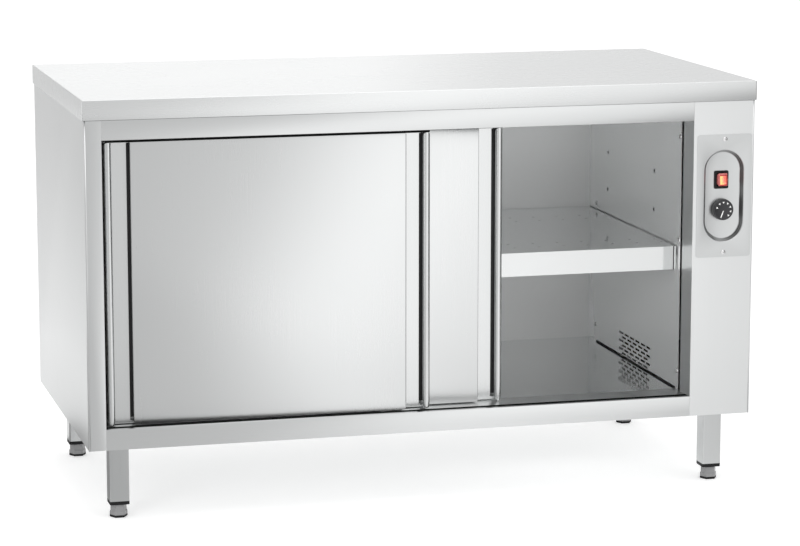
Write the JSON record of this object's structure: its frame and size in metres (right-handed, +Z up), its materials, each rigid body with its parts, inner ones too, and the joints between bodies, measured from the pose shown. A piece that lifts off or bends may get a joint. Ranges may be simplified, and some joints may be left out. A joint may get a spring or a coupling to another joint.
{
  "type": "heated plate cabinet",
  "caption": "Heated stainless cupboard with a flat worktop, sliding doors with rounded grips, an inner shelf, a recessed control panel and square legs on levelling feet.",
  "frame": {"origin": "on the floor under the middle of the worktop", "axes": "+X to the right along the cabinet's length, seen from the front; +Y from the front to the back; +Z up"},
  "size_m": [1.4, 0.7002, 0.85],
  "materials": {
    "worktop_steel": "satin, brushed along its length",
    "casing_steel": "satin, brushed",
    "door_steel": "satin, brushed upwards",
    "lining_steel": "bright rolled, nearly mirror-like",
    "shelf_steel": "bright rolled, nearly mirror-like",
    "leg_steel": "satin",
    "hidden_steel": "plain sheet",
    "bright_hardware": "turned and bright",
    "track_aluminium": "extruded",
    "heater_steel": "bright",
    "motor_paint": "satin",
    "thermostat_brass": "plain",
    "black_plastic": "fine-grained",
    "knob_plastic": "satin",
    "rocker_plastic": "lit red, see-through",
    "foot_plastic": "satin",
    "white_nylon": "satin",
    "insulation_wool": "pressed mineral wool",
    "door_wool": "dark pressed board"
  },
  "bodies": {
    "cabinet": {"worktop": "worktop_steel", "worktop_ribs": "hidden_steel", "left_side_panel": "casing_steel", "right_side_panel": "casing_steel", "back_panel": "casing_steel", "base_panel": "casing_steel", "left_stile": "casing_steel", "top_rail": "casing_steel", "bottom_rail": "casing_steel", "control_column": "casing_steel", "left_inner_wall": "lining_steel", "right_inner_wall": "lining_steel", "back_inner_wall": "lining_steel", "inner_ceiling": "lining_steel", "inner_floor": "lining_steel", "insulation": "insulation_wool", "door_track": "track_aluminium", "door_guide": "white_nylon", "shelf_supports": "bright_hardware", "support_sockets": "bright_hardware", "panel_screws": "bright_hardware", "front_left_leg": "leg_steel", "front_right_leg": "leg_steel", "back_left_leg": "leg_steel", "back_right_leg": "leg_steel", "leg_plugs": "black_plastic", "control_plate": "casing_steel", "switch_housing": "black_plastic", "thermostat": "thermostat_brass", "terminal_block": "white_nylon", "cable_gland": "black_plastic", "heater": "heater_steel", "fan_housing": "hidden_steel", "fan_motor": "motor_paint"},
    "front_door": {"front_door_face": "door_steel", "front_door_back": "door_steel", "front_door_core": "door_wool", "front_door_left_grip": "door_steel", "front_door_right_grip": "door_steel", "front_door_hangers": "bright_hardware"},
    "rear_door": {"rear_door_face": "door_steel", "rear_door_back": "door_steel", "rear_door_core": "door_wool", "rear_door_left_grip": "door_steel", "rear_door_right_grip": "door_steel", "rear_door_hangers": "bright_hardware"},
    "shelf_assembly": {"shelf": "shelf_steel", "shelf_channels": "hidden_steel"},
    "rocker": {"switch_rocker": "rocker_plastic"},
    "knob": {"thermostat_knob": "knob_plastic", "thermostat_spindle": "bright_hardware"},
    "blower_wheel": {"fan_wheel": "heater_steel"},
    "front_door_left_roller_body": {"front_door_left_roller": "white_nylon"},
    "front_door_right_roller_body": {"front_door_right_roller": "white_nylon"},
    "rear_door_left_roller_body": {"rear_door_left_roller": "white_nylon"},
    "rear_door_right_roller_body": {"rear_door_right_roller": "white_nylon"},
    "front_left_foot_body": {"front_left_foot": "foot_plastic"},
    "front_right_foot_body": {"front_right_foot": "foot_plastic"},
    "back_left_foot_body": {"back_left_foot": "foot_plastic"},
    "back_right_foot_body": {"back_right_foot": "foot_plastic"}
  },
  "joints": [
    {"name": "front_door_slide", "type": "slide", "parent": "cabinet", "child": "front_door", "axis": [1, 0, 0], "range_m": [0, 0.546]},
    {"name": "rear_door_slide", "type": "slide", "parent": "cabinet", "child": "rear_door", "axis": [1, 0, 0], "range_m": [-0.162, 0.384]},
    {"name": "front_door_left_roller_turn", "type": "hinge", "parent": "front_door", "child": "front_door_left_roller_body", "pos_m": [-0.5825, -0.314, 0.7883], "axis": [0, 1, 0], "continuous": true},
    {"name": "front_door_right_roller_turn", "type": "hinge", "parent": "front_door", "child": "front_door_right_roller_body", "pos_m": [-0.0605, -0.314, 0.7883], "axis": [0, 1, 0], "continuous": true},
    {"name": "rear_door_left_roller_turn", "type": "hinge", "parent": "rear_door", "child": "rear_door_left_roller_body", "pos_m": [-0.4205, -0.282, 0.7883], "axis": [0, 1, 0], "continuous": true},
    {"name": "rear_door_right_roller_turn", "type": "hinge", "parent": "rear_door", "child": "rear_door_right_roller_body", "pos_m": [0.1015, -0.282, 0.7883], "axis": [0, 1, 0], "continuous": true},
    {"name": "shelf_lift", "type": "slide", "parent": "cabinet", "child": "shelf_assembly", "axis": [0, 0, 1], "range_m": [0, 0.1666]},
    {"name": "rocker_tilt", "type": "hinge", "parent": "cabinet", "child": "rocker", "pos_m": [0.63, -0.333, 0.645], "axis": [1, 0, 0], "range_deg": [0, 10]},
    {"name": "knob_turn", "type": "hinge", "parent": "cabinet", "child": "knob", "pos_m": [0.6325, -0.345, 0.583], "axis": [0, 1, 0], "range_deg": [0, 270]},
    {"name": "blower_spin", "type": "hinge", "parent": "cabinet", "child": "blower_wheel", "pos_m": [0.617, 0, 0.226], "axis": [0, 1, 0], "continuous": true},
    {"name": "front_left_foot_screw", "type": "slide", "parent": "cabinet", "child": "front_left_foot_body", "axis": [0, 0, 1], "range_m": [-0.03, 0]},
    {"name": "front_right_foot_screw", "type": "slide", "parent": "cabinet", "child": "front_right_foot_body", "axis": [0, 0, 1], "range_m": [-0.03, 0]},
    {"name": "back_left_foot_screw", "type": "slide", "parent": "cabinet", "child": "back_left_foot_body", "axis": [0, 0, 1], "range_m": [-0.03, 0]},
    {"name": "back_right_foot_screw", "type": "slide", "parent": "cabinet", "child": "back_right_foot_body", "axis": [0, 0, 1], "range_m": [-0.03, 0]}
  ],
  "couplings": [
    {"joint": "front_door_left_roller_turn", "follows": "front_door_slide", "rad_per_m": 111.11},
    {"joint": "front_door_right_roller_turn", "follows": "front_door_slide", "rad_per_m": 111.11},
    {"joint": "rear_door_left_roller_turn", "follows": "rear_door_slide", "rad_per_m": 111.11},
    {"joint": "rear_door_right_roller_turn", "follows": "rear_door_slide", "rad_per_m": 111.11}
  ]
}
